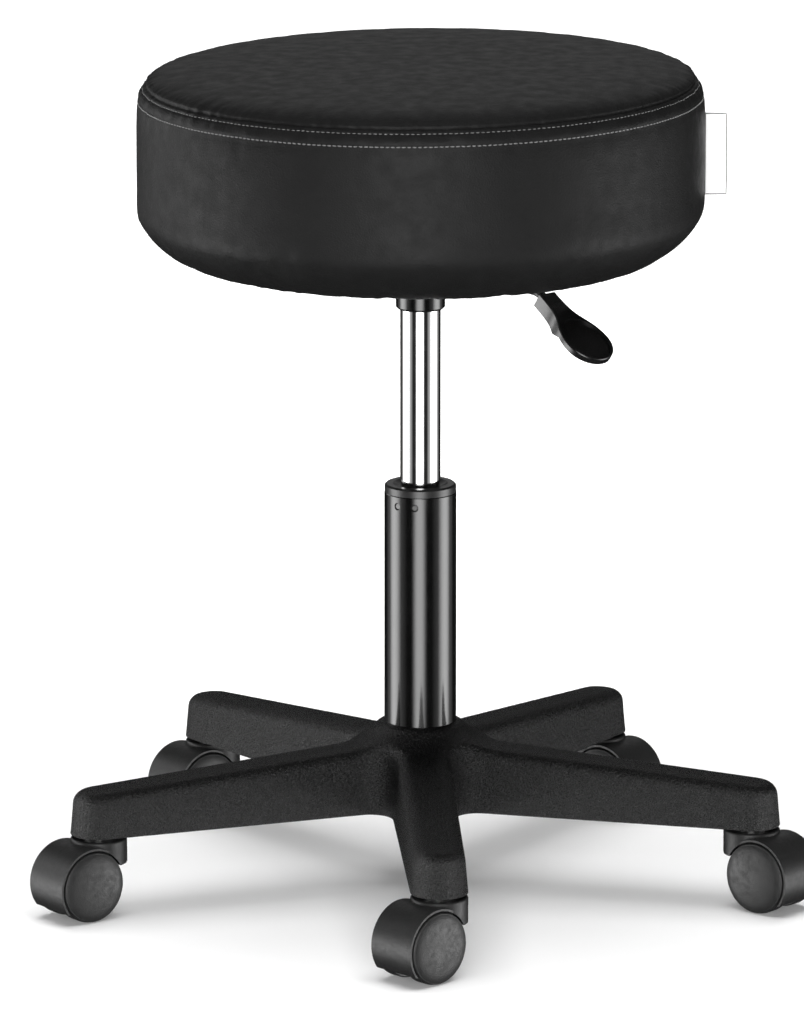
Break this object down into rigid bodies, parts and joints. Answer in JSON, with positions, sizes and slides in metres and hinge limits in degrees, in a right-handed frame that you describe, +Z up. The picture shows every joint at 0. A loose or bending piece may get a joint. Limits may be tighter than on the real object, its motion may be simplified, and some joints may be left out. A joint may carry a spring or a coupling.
{
  "type": "adjustable swivel stool",
  "caption": "Round padded swivel stool on a gas-spring column with a release lever and a star base on twin-wheel casters.",
  "frame": {"origin": "on the column's axis at floor level, where the wheels stand", "axes": "+Z up along the column's axis; the front arm of the base points along -Y; +X is to the right seen from the front"},
  "size_m": [0.5438, 0.4919, 0.579],
  "materials": {
    "nylon": "speckled satin",
    "black_tube": "gloss black",
    "bush_plastic": "satin",
    "zinc_steel": "zinc plated",
    "polished_rod": "ground",
    "chrome": "polished",
    "seal_rubber": "matte",
    "black_plate": "satin black",
    "lever_plastic": "gloss black",
    "plywood": "raw birch",
    "foam": "open-cell foam",
    "vinyl": "grained satin",
    "non_woven": "matte",
    "tag_ribbon": "woven ribbon",
    "caster_plastic": "fine texture",
    "wheel_nylon": "fine texture"
  },
  "bodies": {
    "base": {"star_base": "nylon", "outer_tube": "black_tube", "guide_bush": "bush_plastic", "lower_race": "zinc_steel", "caster_stems": "zinc_steel", "stem_grip_rings": "zinc_steel"},
    "rod": {"piston_rod": "polished_rod", "piston": "polished_rod", "piston_ring": "seal_rubber", "upper_race": "zinc_steel", "bearing_balls": "zinc_steel", "ball_cage": "bush_plastic", "bumper": "seal_rubber", "rod_clip": "zinc_steel"},
    "seat": {"gas_cylinder": "chrome", "pressure_tube": "zinc_steel", "rod_guide": "polished_rod", "rod_seal": "seal_rubber", "valve_body": "zinc_steel", "cone_socket": "black_plate", "seat_plate": "black_plate", "lever_pin": "zinc_steel", "seat_bolts": "zinc_steel", "bolt_washers": "zinc_steel", "t_nuts": "zinc_steel", "seat_board": "plywood", "foam_pad": "foam", "cover_top": "vinyl", "cover_band": "vinyl", "dust_cover": "non_woven", "staples": "zinc_steel", "side_tag": "tag_ribbon"},
    "lever": {"lever_rod": "black_plate", "lever_handle": "lever_plastic"},
    "button": {"release_button": "polished_rod"},
    "front_caster": {"front_caster_hood": "caster_plastic", "front_caster_axle": "polished_rod"},
    "front_wheel_a": {"front_caster_wheel_a": "wheel_nylon"},
    "front_wheel_b": {"front_caster_wheel_b": "wheel_nylon"},
    "front_right_caster": {"front_right_caster_hood": "caster_plastic", "front_right_caster_axle": "polished_rod"},
    "front_right_wheel_a": {"front_right_caster_wheel_a": "wheel_nylon"},
    "front_right_wheel_b": {"front_right_caster_wheel_b": "wheel_nylon"},
    "rear_right_caster": {"rear_right_caster_hood": "caster_plastic", "rear_right_caster_axle": "polished_rod"},
    "rear_right_wheel_a": {"rear_right_caster_wheel_a": "wheel_nylon"},
    "rear_right_wheel_b": {"rear_right_caster_wheel_b": "wheel_nylon"},
    "rear_left_caster": {"rear_left_caster_hood": "caster_plastic", "rear_left_caster_axle": "polished_rod"},
    "rear_left_wheel_a": {"rear_left_caster_wheel_a": "wheel_nylon"},
    "rear_left_wheel_b": {"rear_left_caster_wheel_b": "wheel_nylon"},
    "front_left_caster": {"front_left_caster_hood": "caster_plastic", "front_left_caster_axle": "polished_rod"},
    "front_left_wheel_a": {"front_left_caster_wheel_a": "wheel_nylon"},
    "front_left_wheel_b": {"front_left_caster_wheel_b": "wheel_nylon"}
  },
  "joints": [
    {"name": "seat_swivel", "type": "hinge", "parent": "base", "child": "rod", "pos_m": [0, 0, 0.067], "axis": [0, 0, 1], "continuous": true},
    {"name": "seat_height", "type": "slide", "parent": "rod", "child": "seat", "axis": [0, 0, 1], "range_m": [-0.12, 0]},
    {"name": "release_lever", "type": "hinge", "parent": "seat", "child": "lever", "pos_m": [0.02587, -0.03051, 0.4395], "axis": [-0.7627, -0.6468, 0], "range_deg": [0, 3.2]},
    {"name": "release_button", "type": "slide", "parent": "seat", "child": "button", "axis": [0, 0, 1], "range_m": [-0.0023, 0]},
    {"name": "front_caster_swivel", "type": "hinge", "parent": "base", "child": "front_caster", "pos_m": [0, -0.237, 0.045], "axis": [0, 0, 1], "continuous": true},
    {"name": "front_wheel_a_spin", "type": "hinge", "parent": "front_caster", "child": "front_wheel_a", "pos_m": [-0.01358, -0.24881, 0.025], "axis": [-0.6561, 0.7547, 0], "continuous": true},
    {"name": "front_wheel_b_spin", "type": "hinge", "parent": "front_caster", "child": "front_wheel_b", "pos_m": [-0.01358, -0.24881, 0.025], "axis": [-0.6561, 0.7547, 0], "continuous": true},
    {"name": "front_right_caster_swivel", "type": "hinge", "parent": "base", "child": "front_right_caster", "pos_m": [0.2254, -0.07324, 0.045], "axis": [0, 0, 1], "continuous": true},
    {"name": "front_right_wheel_a_spin", "type": "hinge", "parent": "front_right_caster", "child": "front_right_wheel_a", "pos_m": [0.23835, -0.08574, 0.025], "axis": [-0.6947, -0.7193, 0], "continuous": true},
    {"name": "front_right_wheel_b_spin", "type": "hinge", "parent": "front_right_caster", "child": "front_right_wheel_b", "pos_m": [0.23835, -0.08574, 0.025], "axis": [-0.6947, -0.7193, 0], "continuous": true},
    {"name": "rear_right_caster_swivel", "type": "hinge", "parent": "base", "child": "rear_right_caster", "pos_m": [0.13931, 0.19174, 0.045], "axis": [0, 0, 1], "continuous": true},
    {"name": "rear_right_wheel_a_spin", "type": "hinge", "parent": "rear_right_caster", "child": "rear_right_wheel_a", "pos_m": [0.15225, 0.17923, 0.025], "axis": [-0.6947, -0.7193, 0], "continuous": true},
    {"name": "rear_right_wheel_b_spin", "type": "hinge", "parent": "rear_right_caster", "child": "rear_right_wheel_b", "pos_m": [0.15225, 0.17923, 0.025], "axis": [-0.6947, -0.7193, 0], "continuous": true},
    {"name": "rear_left_caster_swivel", "type": "hinge", "parent": "base", "child": "rear_left_caster", "pos_m": [-0.13931, 0.19174, 0.045], "axis": [0, 0, 1], "continuous": true},
    {"name": "rear_left_wheel_a_spin", "type": "hinge", "parent": "rear_left_caster", "child": "rear_left_wheel_a", "pos_m": [-0.15387, 0.18116, 0.025], "axis": [-0.5878, 0.809, 0], "continuous": true},
    {"name": "rear_left_wheel_b_spin", "type": "hinge", "parent": "rear_left_caster", "child": "rear_left_wheel_b", "pos_m": [-0.15387, 0.18116, 0.025], "axis": [-0.5878, 0.809, 0], "continuous": true},
    {"name": "front_left_caster_swivel", "type": "hinge", "parent": "base", "child": "front_left_caster", "pos_m": [-0.2254, -0.07324, 0.045], "axis": [0, 0, 1], "continuous": true},
    {"name": "front_left_wheel_a_spin", "type": "hinge", "parent": "front_left_caster", "child": "front_left_wheel_a", "pos_m": [-0.24014, -0.08356, 0.025], "axis": [-0.5736, 0.8192, 0], "continuous": true},
    {"name": "front_left_wheel_b_spin", "type": "hinge", "parent": "front_left_caster", "child": "front_left_wheel_b", "pos_m": [-0.24014, -0.08356, 0.025], "axis": [-0.5736, 0.8192, 0], "continuous": true}
  ],
  "couplings": [
    {"joint": "release_button", "follows": "release_lever", "m_per_rad": -0.04}
  ]
}
